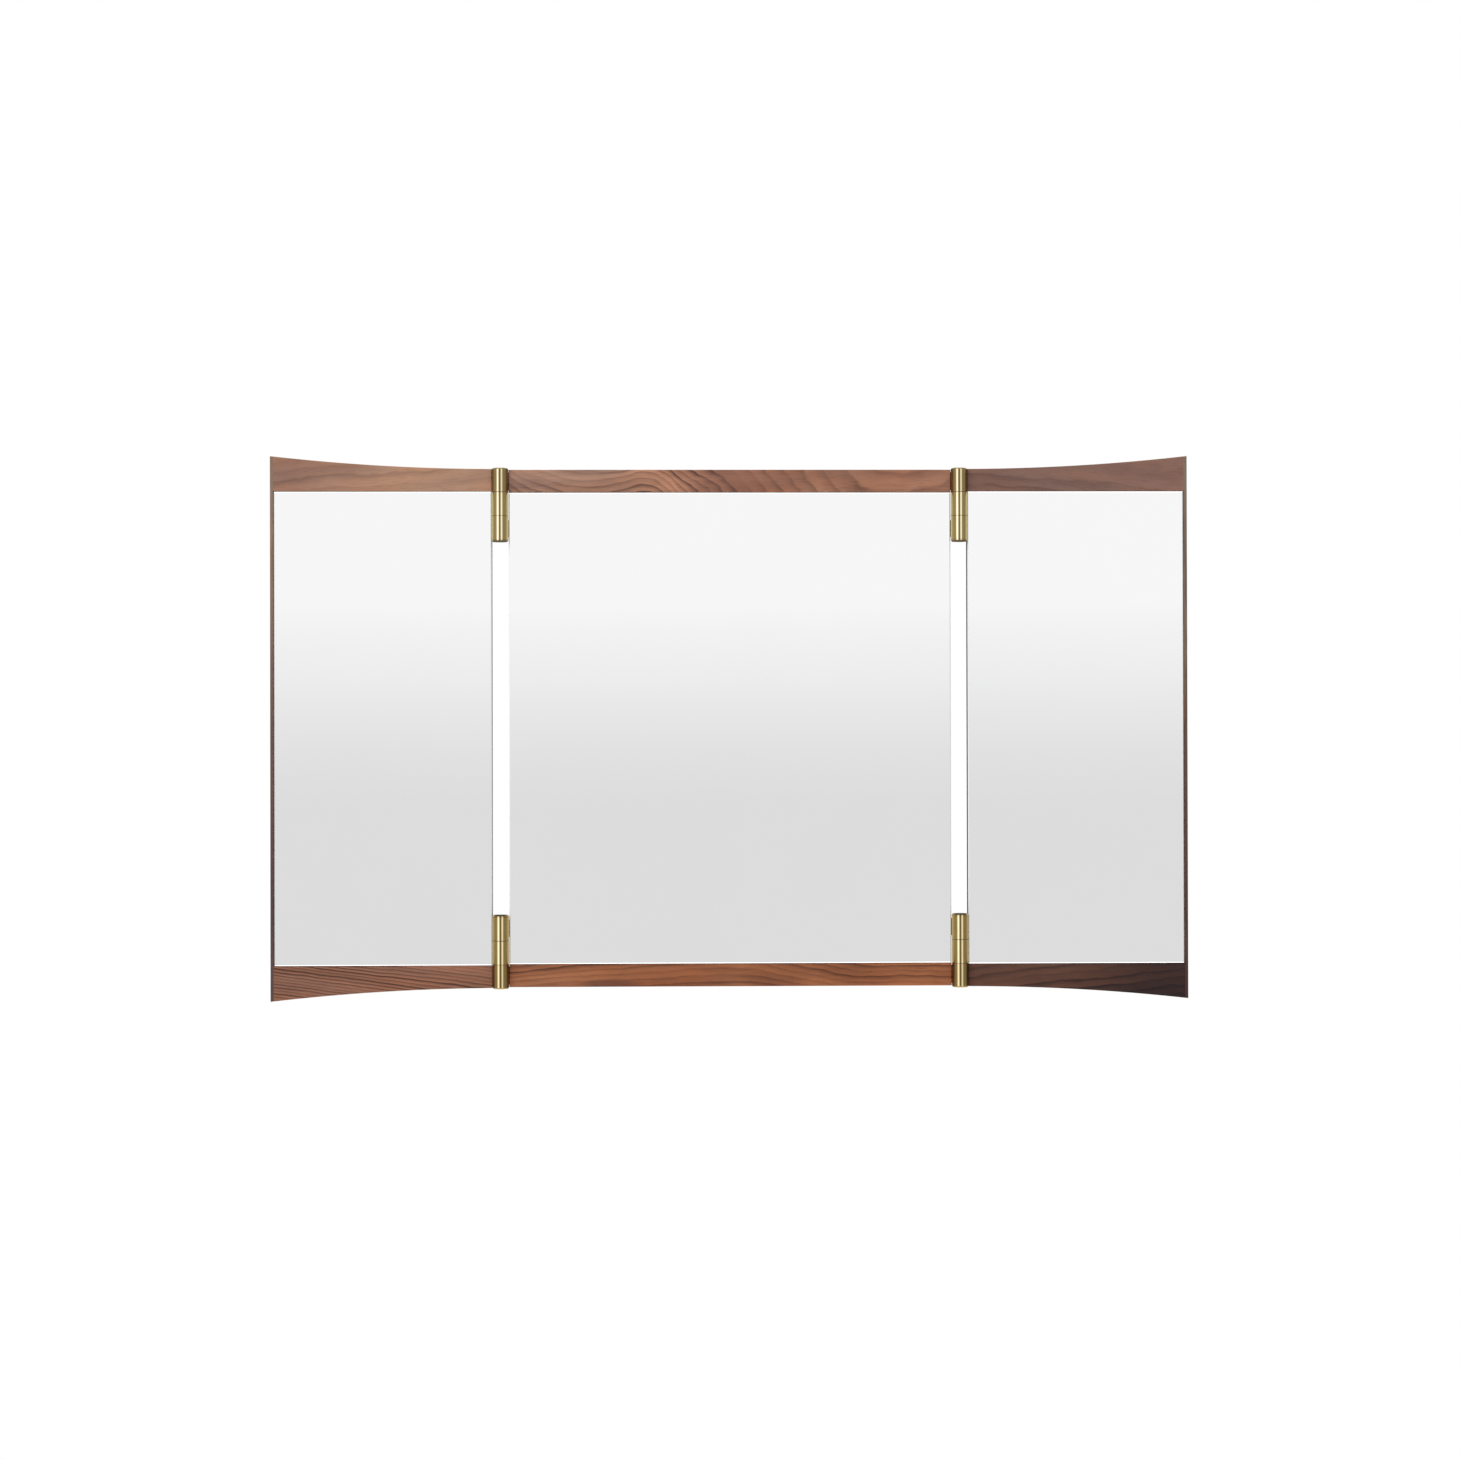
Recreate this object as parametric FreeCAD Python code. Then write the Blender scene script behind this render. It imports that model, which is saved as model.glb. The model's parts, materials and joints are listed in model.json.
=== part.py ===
# Wall-hung vanity mirror in three panels: a straight centre panel and two flared wings that fold
# forward on four barrel hinges, until they lie shut over the centre mirror.
#
# Millimetres, +Z up, +X to the viewer's right, -Y towards the viewer.
# The origin is the middle of the centre panel's back face, which lies on the wall.

import FreeCAD
import Part

import math
import os

from FreeCAD import Vector

# Panels
CENTRE_WIDTH = 565.0
CENTRE_HEIGHT = 660.0
PANEL_GAP = 21.7  # between the centre panel and a wing
CLOSED_GAP = 1.0  # between the two wings when they are folded shut
RAIL_HEIGHT = 28.5  # of the straight rails
WING_RISE = 1.0  # of the wing rails' outer edges past the straight rails, at the hinge line
WING_SIGHT_RISE = 1.4  # of the wing rails' glass edges past the straight rails'
FLARE_RADIUS = 2600.0  # sweep of the wing rails' outer edges, tangent at the hinge line
STILE_WIDTH = 4.0  # thin strip closing the wing's outer edge
EDGE_EASE = 0.5  # small chamfer on the wood's front edges

# Depth of a panel, from the wall forwards
BOARD_THICKNESS = 12.0
TAPE_THICKNESS = 1.0
GLASS_THICKNESS = 4.0
GLASS_RECESS = 2.0  # from the rails' front down to the glass

# Glass and its bonding tape
GLASS_CLEARANCE = 0.3  # between the glass edge and the wood
GLASS_ARRIS = 1.2  # 45 degree edge of the glass face
TAPE_WIDTH = 19.0
TAPE_MARGIN = 30.0  # from the glass edges to the outer strips and the strips' ends
CENTRE_TAPES = 4
WING_TAPES = 3

# Tongues along the boards' edges, glued into grooves in the rails
TONGUE_THICKNESS = 4.0
TONGUE_SETBACK = 6.0  # from the board's back
TONGUE_DEPTH = 8.0
TONGUE_FIT = 0.1
GROOVE_RELIEF = 0.5  # glue space beyond the tongue

# Barrel hinges
BARREL_DIAMETER = 21.2
AXIS_PROUD = 1.0  # hinge axis in front of the rails' front faces
OUTER_KNUCKLE_LENGTH = 30.7  # beside the rail
KNUCKLE_LENGTH = 29.8  # the other two
WASHER_THICKNESS = 0.4
WASHER_INSET = 0.5  # washer rim below the barrel's surface
HEAD_LENGTH = 3.0  # of the pin, at the barrel's inner end
BARREL_OVERHANG = 1.85  # barrel end past the straight rail's outer edge
END_CHAMFER = 1.5  # on the barrel's two ends
PIN_DIAMETER = 8.0
PIN_FIT = 0.02  # pin held in the centre panel's knuckles
RUNNING_FIT = 0.05  # wing knuckle on the pin, and its end play
BLIND_END = 6.0  # solid end of the outer knuckle

# Fittings screwed into the panels' backs
FITTING_SET = 1.2  # below the panel's back, room for screw heads
FITTING_HOLE_DIAMETER = 4.0

# Hinge leaves
LEAF_WIDTH = 30.0  # let into the panel
LEAF_THICKNESS = 3.0
LEAF_FIT = 0.1
LEAF_MARGIN = 2.0  # wood between the leaf and the straight rail's outer edge
LEAF_HOLES = 2
LEAF_HOLE_INSET = 16.0  # from the leaf's ends
NECK_WIDTH = 12.0
NECK_INSET = 4.0  # of the necks from their knuckles' ends
NECK_CHAMFER = 2.5  # in the bend and on the heel

# Keyhole hangers in the centre panel's back
HANGER_INSET = 82.5  # from the panel's sides
HANGER_DROP = 105.0  # of the entry holes below the panel's top
PLATE_WIDTH = 20.0
PLATE_HEIGHT = 52.0
PLATE_THICKNESS = 2.0
PLATE_CORNER = 8.0
PLATE_FIT = 0.1
PLATE_HOLE_INSET = 5.5  # from the plate's ends
ENTRY_DIAMETER = 10.0
SLOT_WIDTH = 5.0
SLOT_RISE = 12.0
POCKET_DEPTH = 9.0
POCKET_MARGIN = 2.0  # pocket around the entry hole and slot

# Working values
PAST = 1.0  # how far a cut runs past the face that it opens
NEAR = 1e-6  # points closer than this are one

# Derived places
RAIL_DEPTH = BOARD_THICKNESS + TAPE_THICKNESS + GLASS_THICKNESS + GLASS_RECESS
FRONT_Y = -RAIL_DEPTH
GLASS_BACK_Y = -(BOARD_THICKNESS + TAPE_THICKNESS)
GLASS_FRONT_Y = GLASS_BACK_Y - GLASS_THICKNESS
HALF_WIDTH = CENTRE_WIDTH / 2
HALF_HEIGHT = CENTRE_HEIGHT / 2
SIGHT_Z = HALF_HEIGHT - RAIL_HEIGHT
WING_SIGHT_Z = SIGHT_Z + WING_SIGHT_RISE
HINGE_X = HALF_WIDTH + PANEL_GAP / 2
HINGE_Y = FRONT_Y - AXIS_PROUD
WING_IN = HALF_WIDTH + PANEL_GAP
WING_OUT = 2 * HINGE_X - CLOSED_GAP / 2
STILE_IN = WING_OUT - STILE_WIDTH
BARREL_RADIUS = BARREL_DIAMETER / 2
PIN_RADIUS = PIN_DIAMETER / 2

# Stack of the upper hinges along the axis, from the outer end down
OUTER_TOP = HALF_HEIGHT + BARREL_OVERHANG
OUTER_LOW = OUTER_TOP - OUTER_KNUCKLE_LENGTH
MID_TOP = OUTER_LOW - WASHER_THICKNESS
MID_LOW = MID_TOP - KNUCKLE_LENGTH
INNER_TOP = MID_LOW - WASHER_THICKNESS
INNER_LOW = INNER_TOP - KNUCKLE_LENGTH
HEAD_LOW = INNER_LOW - HEAD_LENGTH
PIN_TOP = OUTER_TOP - BLIND_END

# Ends of the leaves, and depth of their housings
LEAF_TOP = HALF_HEIGHT - LEAF_MARGIN
LEAF_LOW = INNER_LOW + NECK_INSET
LEAF_FLOOR_Y = -(FITTING_SET + LEAF_THICKNESS)

SIDES = (("left", -1), ("right", 1))
IN_CENTRE = -1  # way from the right hinge axis to the centre panel
IN_WING = 1  # way from the right hinge axis to the wing
X_AXIS = Vector(1, 0, 0)
Y_AXIS = Vector(0, 1, 0)
Z_AXIS = Vector(0, 0, 1)
ORIGIN = Vector(0, 0, 0)


def block(x_span, y_span, z_span):
    """Box between the two values given on each axis."""
    low = Vector(min(x_span), min(y_span), min(z_span))
    high = Vector(max(x_span), max(y_span), max(z_span))
    size = high - low
    return Part.makeBox(size.x, size.y, size.z, low)


def mirrored(shape, side, level=1):
    """Piece of the upper right quarter, put on the given side and level."""
    if side < 0:
        shape = shape.mirror(ORIGIN, X_AXIS)
    if level < 0:
        shape = shape.mirror(ORIGIN, Z_AXIS)
    return shape


def top_and_bottom(shape):
    """Compound of a shape of the upper half and its copy in the lower half."""
    return Part.makeCompound([shape, mirrored(shape, 1, -1)])


def edges_where(shape, test):
    """Edges whose every vertex passes the test."""
    return [e for e in shape.Edges if all(test(v.Point) for v in e.Vertexes)]


def spread(first, last, count):
    """Evenly spaced positions, both ends included."""
    return [first + (last - first) * i / (count - 1) for i in range(count)]


def eased(shape):
    """Takes the sharpness off the wood's edges in the front plane."""
    return shape.makeChamfer(EDGE_EASE, edges_where(shape, lambda p: abs(p.y - FRONT_Y) < NEAR))


def fitting_hole(x, z):
    """Screw hole through a hinge leaf or hanger plate."""
    depth = FITTING_SET + LEAF_THICKNESS + PAST
    return Part.makeCylinder(FITTING_HOLE_DIAMETER / 2, depth, Vector(x, 0, z), -Y_AXIS)


# Hinges, all built for the upper right corner

def leaf_plate(way, near_x, back_y, grow):
    """Leaf's square-cornered plate from near_x to its end, grown all round."""
    far_x = HINGE_X + way * (PANEL_GAP / 2 + LEAF_WIDTH + grow)
    return block((near_x, far_x), (LEAF_FLOOR_Y, back_y), (LEAF_LOW - grow, LEAF_TOP + grow))


def leaf_housing(way):
    """Housing for a leaf in a panel's back, open at the panel's edge."""
    return leaf_plate(way, HINGE_X + way * (PANEL_GAP / 2 - PAST), PAST, LEAF_FIT)


def leaf(way, necks):
    """Leaf with cranked necks that reach forward to the barrel, one for each span of height given."""
    edge = HINGE_X + way * PANEL_GAP / 2
    half = NECK_WIDTH / 2
    body = leaf_plate(way, edge, -FITTING_SET, 0)
    for z_span in necks:
        tab = block((HINGE_X, edge), (LEAF_FLOOR_Y, -FITTING_SET), z_span)
        post = block((HINGE_X - half, HINGE_X + half), (HINGE_Y, -FITTING_SET), z_span)
        body = body.fuse([tab, post])
    body = body.removeSplitter()
    bend = edges_where(body, lambda p: abs(p.x - HINGE_X - way * half) + abs(p.y - LEAF_FLOOR_Y) < NEAR)
    heel = edges_where(body, lambda p: abs(p.x - HINGE_X + way * half) + abs(p.y + FITTING_SET) < NEAR)
    body = body.makeChamfer(NECK_CHAMFER, bend + heel)
    for z in spread(LEAF_LOW + LEAF_HOLE_INSET, LEAF_TOP - LEAF_HOLE_INSET, LEAF_HOLES):
        body = body.cut(fitting_hole(edge + way * LEAF_WIDTH / 2, z))
    return body


def on_hinge(points):
    """Piece turned about the hinge axis from a closed outline of radius and height pairs."""
    corners = [Vector(HINGE_X + r, HINGE_Y, z) for r, z in points]
    face = Part.Face(Part.makePolygon(corners + corners[:1]))
    return face.revolve(Vector(HINGE_X, HINGE_Y, 0), Z_AXIS, 360)


def rod(radius, low, high):
    """Plain round piece on the hinge axis."""
    return on_hinge([(0, low), (radius, low), (radius, high), (0, high)])


def chamfered_rod(inner_end, outer_end):
    """Full-size length of barrel, chamfered where the hinge ends."""
    out = math.copysign(END_CHAMFER, outer_end - inner_end)
    r = BARREL_RADIUS
    rim = [(r, inner_end), (r, outer_end - out), (r - END_CHAMFER, outer_end)]
    return on_hinge([(0, inner_end)] + rim + [(0, outer_end)])


def washer(low):
    """Thin ring at a seam between two knuckles."""
    ring = rod(BARREL_RADIUS - WASHER_INSET, low, low + WASHER_THICKNESS)
    return ring.cut(rod(PIN_RADIUS + RUNNING_FIT, low - PAST, low + WASHER_THICKNESS + PAST))


outer_neck = (OUTER_LOW + NECK_INSET, LEAF_TOP)
inner_neck = (LEAF_LOW, INNER_TOP - NECK_INSET)
centre_leaf = leaf(IN_CENTRE, (outer_neck, inner_neck))
outer_knuckle = chamfered_rod(OUTER_LOW, OUTER_TOP)
inner_knuckle = rod(BARREL_RADIUS, INNER_LOW, INNER_TOP)
centre_leaf = centre_leaf.fuse([outer_knuckle, inner_knuckle])
centre_leaf = centre_leaf.removeSplitter().cut(rod(PIN_RADIUS + PIN_FIT, INNER_LOW - PAST, PIN_TOP))

middle_neck = (MID_LOW + NECK_INSET, MID_TOP - NECK_INSET)
wing_leaf = leaf(IN_WING, (middle_neck,))
wing_leaf = wing_leaf.fuse(rod(BARREL_RADIUS, MID_LOW + RUNNING_FIT, MID_TOP - RUNNING_FIT)).removeSplitter()
wing_leaf = wing_leaf.cut(rod(PIN_RADIUS + RUNNING_FIT, MID_LOW - PAST, MID_TOP + PAST))

pin_head = chamfered_rod(INNER_LOW, HEAD_LOW)
headed_pin = pin_head.fuse(rod(PIN_RADIUS, INNER_LOW, PIN_TOP)).removeSplitter()
centre_housing = leaf_housing(IN_CENTRE)
wing_housing = leaf_housing(IN_WING)


# Joint between an upper rail and its board

def tongue(x_span, sight_z, grow, relief):
    """Tongue on the board's upper edge, or the groove for it."""
    back = -(TONGUE_SETBACK - grow)
    front = -(TONGUE_SETBACK + TONGUE_THICKNESS + grow)
    return block(x_span, (front, back), (sight_z, sight_z + TONGUE_DEPTH + relief))


def tongued_board(x_span, sight_z):
    """Back board with a tongue along its upper and lower edges."""
    board = block(x_span, (-BOARD_THICKNESS, 0), (-sight_z, sight_z))
    return board.fuse(top_and_bottom(tongue(x_span, sight_z, 0, 0)))


def grooved(rail, x_span, sight_z):
    """Rail with the groove for its board's tongue."""
    return rail.cut(tongue(x_span, sight_z, TONGUE_FIT, GROOVE_RELIEF))


# Glass and tape

def pane(x_low, x_high, sight_z):
    """Mirror pane with arrised face edges."""
    top = sight_z - GLASS_CLEARANCE
    glass = block((x_low, x_high), (GLASS_BACK_Y, GLASS_FRONT_Y), (-top, top))
    face_edges = edges_where(glass, lambda p: abs(p.y - GLASS_FRONT_Y) < NEAR)
    return glass.makeChamfer(GLASS_ARRIS, face_edges)


def tapes(x_low, x_high, sight_z, count):
    """Upright strips of bonding tape behind a pane."""
    reach = sight_z - TAPE_MARGIN
    places = spread(x_low + TAPE_MARGIN, x_high - TAPE_MARGIN - TAPE_WIDTH, count)
    y_span = (-BOARD_THICKNESS, GLASS_BACK_Y)
    return Part.makeCompound([block((x, x + TAPE_WIDTH), y_span, (-reach, reach)) for x in places])


# Keyhole hangers, built on the right

HANGER_X = HALF_WIDTH - HANGER_INSET
ENTRY_Z = HALF_HEIGHT - HANGER_DROP
SLOT_TOP = ENTRY_Z + SLOT_RISE
PLATE_LOW = (ENTRY_Z + SLOT_TOP - PLATE_HEIGHT) / 2
PLATE_HIGH = PLATE_LOW + PLATE_HEIGHT
PLATE_FLOOR_Y = -(FITTING_SET + PLATE_THICKNESS)


def keyhole(entry_radius, slot_radius, depth):
    """Round entry hole with a slot rising from it, cut from the wall side."""
    length = depth + PAST
    entry = Part.makeCylinder(entry_radius, length, Vector(HANGER_X, -depth, ENTRY_Z), Y_AXIS)
    crown = Part.makeCylinder(slot_radius, length, Vector(HANGER_X, -depth, SLOT_TOP), Y_AXIS)
    slot = block((HANGER_X - slot_radius, HANGER_X + slot_radius), (-depth, PAST), (ENTRY_Z, SLOT_TOP))
    return entry.fuse([crown, slot]).removeSplitter()


def plate_blank(grow, back_y):
    """Hanger plate with rounded corners, grown all round."""
    half = PLATE_WIDTH / 2 + grow
    x_span = (HANGER_X - half, HANGER_X + half)
    plate = block(x_span, (PLATE_FLOOR_Y, back_y), (PLATE_LOW - grow, PLATE_HIGH + grow))
    corners = [e for e in plate.Edges if abs(e.tangentAt(e.FirstParameter).y) > 1 - NEAR]
    return plate.makeFillet(PLATE_CORNER + grow, corners)


pocket_radius = ENTRY_DIAMETER / 2 + POCKET_MARGIN
keyhole_plate = plate_blank(0, -FITTING_SET)
keyhole_plate = keyhole_plate.cut(keyhole(ENTRY_DIAMETER / 2, SLOT_WIDTH / 2, POCKET_DEPTH))
for z in (PLATE_LOW + PLATE_HOLE_INSET, PLATE_HIGH - PLATE_HOLE_INSET):
    keyhole_plate = keyhole_plate.cut(fitting_hole(HANGER_X, z))
plate_housing = plate_blank(PLATE_FIT, PAST).fuse(keyhole(pocket_radius, pocket_radius, POCKET_DEPTH))

# Centre panel

parts = {}
centre_span = (-HALF_WIDTH, HALF_WIDTH)
centre_board = tongued_board(centre_span, SIGHT_Z)
centre_rail = eased(block(centre_span, (FRONT_Y, 0), (SIGHT_Z, HALF_HEIGHT)))
centre_rail = grooved(centre_rail, centre_span, SIGHT_Z)
for name, side in SIDES:
    centre_rail = centre_rail.cut(mirrored(centre_housing, side))
    centre_board = centre_board.cut(top_and_bottom(mirrored(centre_housing, side)))
    centre_board = centre_board.cut(mirrored(plate_housing, side))

parts["centre_back_board"] = centre_board
parts["centre_top_rail"] = centre_rail
parts["centre_bottom_rail"] = mirrored(centre_rail, 1, -1)
parts["centre_mirror"] = pane(-HALF_WIDTH, HALF_WIDTH, SIGHT_Z)
parts["centre_mirror_tape"] = tapes(-HALF_WIDTH, HALF_WIDTH, SIGHT_Z, CENTRE_TAPES)
parts["keyhole_plates"] = Part.makeCompound([keyhole_plate, mirrored(keyhole_plate, -1)])


# Wings, built on the right. Their outer edges sweep away from the line of the centre rails.

def on_flare(x):
    """Point of the upper flared edge, in the front plane."""
    run = x - HINGE_X
    rise = FLARE_RADIUS - math.sqrt(FLARE_RADIUS ** 2 - run ** 2)
    return Vector(x, FRONT_Y, HALF_HEIGHT + WING_RISE + rise)


wing_corner = on_flare(WING_OUT)
wing_root = on_flare(WING_IN)
flared_edge = Part.Arc(wing_root, on_flare((WING_IN + WING_OUT) / 2), wing_corner).toShape()


def flared_blank(foot_z, foot_edge):
    """Blank the width of the wing: the flared edge above, foot_edge below, upright sides."""
    root_foot, corner_foot = foot_z
    inner = Part.makeLine(Vector(WING_IN, FRONT_Y, root_foot), wing_root)
    outer = Part.makeLine(wing_corner, Vector(WING_OUT, FRONT_Y, corner_foot))
    outline = Part.Wire([inner, flared_edge, outer, foot_edge])
    return eased(Part.Face(outline).extrude(Y_AXIS * RAIL_DEPTH))


glass_line = Part.makeLine(Vector(WING_OUT, FRONT_Y, WING_SIGHT_Z), Vector(WING_IN, FRONT_Y, WING_SIGHT_Z))
rail_blank = flared_blank((WING_SIGHT_Z, WING_SIGHT_Z), glass_line)
stile_blank = flared_blank((-wing_root.z, -wing_corner.z), mirrored(flared_edge, 1, -1))
reach = wing_corner.z + PAST
stile_side = block((STILE_IN, WING_OUT + PAST), (FRONT_Y - PAST, PAST), (-reach, reach))
wing_stile = stile_blank.common(stile_side)
wing_span = (WING_IN, STILE_IN)
wing_rail = grooved(rail_blank.cut(stile_side), wing_span, WING_SIGHT_Z).cut(wing_housing)
wing_board = tongued_board(wing_span, WING_SIGHT_Z).cut(top_and_bottom(wing_housing))

wing_pieces = {
    "back_board": wing_board,
    "mirror": pane(WING_IN, STILE_IN - GLASS_CLEARANCE, WING_SIGHT_Z),
    "mirror_tape": tapes(WING_IN, STILE_IN, WING_SIGHT_Z, WING_TAPES),
    "top_rail": wing_rail,
    "bottom_rail": mirrored(wing_rail, 1, -1),
    "outer_stile": wing_stile,
}
for name, side in SIDES:
    for piece, shape in wing_pieces.items():
        parts[name + "_wing_" + piece] = mirrored(shape, side)

# Hinges, an upper and a lower one in each node. The weight of a wing rests on the washers.

washers = Part.makeCompound([washer(INNER_TOP), mirrored(washer(MID_TOP), 1, -1)])
hinge_pieces = {
    "centre_leaves": top_and_bottom(centre_leaf),
    "wing_leaves": top_and_bottom(wing_leaf),
    "pins": top_and_bottom(headed_pin),
    "washers": washers,
}
for name, side in SIDES:
    for piece, shape in hinge_pieces.items():
        parts[name + "_hinge_" + piece] = mirrored(shape, side)

os.makedirs("parts", exist_ok=True)
for node, shape in parts.items():
    shape.exportStep("parts/" + node + ".step")
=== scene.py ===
"""Looks of the three-panel vanity mirror: walnut rails, silvered glass, brass hinges and stained backs."""
import json
import math

import bpy
from mathutils import Euler, Matrix


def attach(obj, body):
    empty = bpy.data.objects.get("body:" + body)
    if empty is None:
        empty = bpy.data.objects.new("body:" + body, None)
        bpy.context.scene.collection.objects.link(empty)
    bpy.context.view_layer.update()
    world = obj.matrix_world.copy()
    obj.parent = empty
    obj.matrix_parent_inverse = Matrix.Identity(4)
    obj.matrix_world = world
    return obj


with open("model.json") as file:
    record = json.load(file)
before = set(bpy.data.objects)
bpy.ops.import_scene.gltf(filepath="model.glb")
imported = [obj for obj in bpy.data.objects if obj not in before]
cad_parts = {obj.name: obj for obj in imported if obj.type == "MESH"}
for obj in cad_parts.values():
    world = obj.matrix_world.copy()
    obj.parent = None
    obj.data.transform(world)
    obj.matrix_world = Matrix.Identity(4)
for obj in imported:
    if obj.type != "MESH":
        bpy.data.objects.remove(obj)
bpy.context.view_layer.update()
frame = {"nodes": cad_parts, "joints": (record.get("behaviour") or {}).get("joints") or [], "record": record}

nodes = frame["nodes"]
joints = {joint["name"]: joint for joint in frame["joints"]}
mounts = {mount["name"]: mount for mount in frame["record"]["mounts"]}


def tone(red, green, blue):
    return (red, green, blue, 1.0)


def grey(level):
    return tone(level, level, level)


# Camera: nearly square on, a little to the left of the middle
CAMERA_PLACE = (-0.0913, -4.019, -0.0273)
CAMERA_YAW = 1.301
CAMERA_PITCH = 0.352
CAMERA_ROLL = -0.131
CAMERA_LENS = 77.219
CAMERA_SENSOR = 36.0

# Key lamp, the even light from below and from above, and the white that the camera sees
KEY_PLACE = (-2.2, -2.8, 1.4)
KEY_SIZE = 2.4
KEY_WATTS = 58.0
SOFT_LIGHT = (0.644, 0.756)
SHOWN_WHITE = 1.0

# Brightness of the wall that the mirrors show, by how far a ray rises in each metre of its length
WALL_STEPS = (
    (-0.0175, 0.745), (-0.0010, 0.783), (0.0150, 0.843), (0.0228, 0.879), (0.0378, 0.924), (0.0458, 0.960))
# Start, end and level of the wall's changes above, towards the sides (in degrees of bearing) and below
WALL_CROWN = (0.16, 0.24, 2.4)
WALL_SIDES = (28.0, 66.0, 0.50)
WALL_FOOT = (-0.10, -0.50, 0.52)

# Brightness of the tall panels that the metal shows, by bearing in degrees from straight in front
PANEL_STEPS = (
    (-180.0, 0.16), (-150.0, 0.18), (-118.0, 0.29), (-60.0, 0.37), (-50.0, 0.40), (-43.0, 0.85),
    (-38.0, 1.80), (-24.0, 1.80), (-19.0, 1.10), (-12.0, 0.45), (-6.0, 0.18), (5.0, 0.18), (11.0, 0.60),
    (18.0, 1.25), (29.0, 1.25), (35.0, 0.80), (41.0, 0.32), (70.0, 0.30), (100.0, 0.25), (118.0, 0.23),
    (150.0, 0.16), (180.0, 0.16))
# Levels between which the panels grow cool, and the shares of green and blue that they gain
PANEL_COOL = (0.50, 1.10, 0.16, 1.20)
# Rise, up or down, over which the bright panels end, and the most that shows past them
PANEL_END = (0.12, 0.22)
PAST_PANELS = 0.95
# Start, end and level of the light past the panels behind, and of that straight above and straight below
LIGHT_BEHIND = (0.20, 0.60, 0.60)
LIGHT_ABOVE = (0.86, 0.98, 0.60)
LIGHT_BELOW = (-0.60, -0.95, 0.40)

# Floor, and the distances from its middle between which it goes from solid to clear
FLOOR_HEIGHT = -1.55
FLOOR_RADIUS = 2.6
FLOOR_SIDES = 96
FLOOR_FADE = (1.2, 2.5, 1.0, 0.0)

# Hinges and hangers: the back of their metal, just short of the wall, and how far they are from the middle
HANGERS = mounts["keyhole_hangers"]
METAL_FACE = HANGERS["pos_m"][1]
HANGER_Z = HANGERS["pos_m"][2]
MILLIMETRE = 0.001
PLATE_X = HANGERS["dims"]["spacing_x_mm"] * MILLIMETRE / 2
BARREL_X = joints["right_wing_hinge"]["pos_m"][0]

# Screws: two in each hanger plate, one above the other, and two in each leaf, beside the barrel
PLATE_SCREW_Z = (HANGER_Z - 0.0145, HANGER_Z + 0.0265)
LEAF_SCREW_OFFSET = 0.02585
LEAF_SCREW_Z = (-0.312, -0.26075, 0.26075, 0.312)
LEAF_SHANK = 0.0027
PLATE_SHANK = 0.0017
SHANK_RADIUS = 0.0018
HEAD_RADIUS = 0.0034
HEAD_HEIGHT = 0.0009
HEAD_SIDES = 32
RIM_BEVEL = 0.00025
RIM_SEGMENTS = 2
CROWN_RISE = 0.00015
CROWN_INSET = 0.0011
RECESS_LENGTH = 0.0036
RECESS_WIDTH = 0.0008
RECESS_DEPTH = 0.00055
SMOOTH_ANGLE = 35.0
# Part of a normal above which a face counts as an end of the screw, and the turn from one screw to the next
END_FACE = 0.9
NEXT_TURN = 37.0


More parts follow.
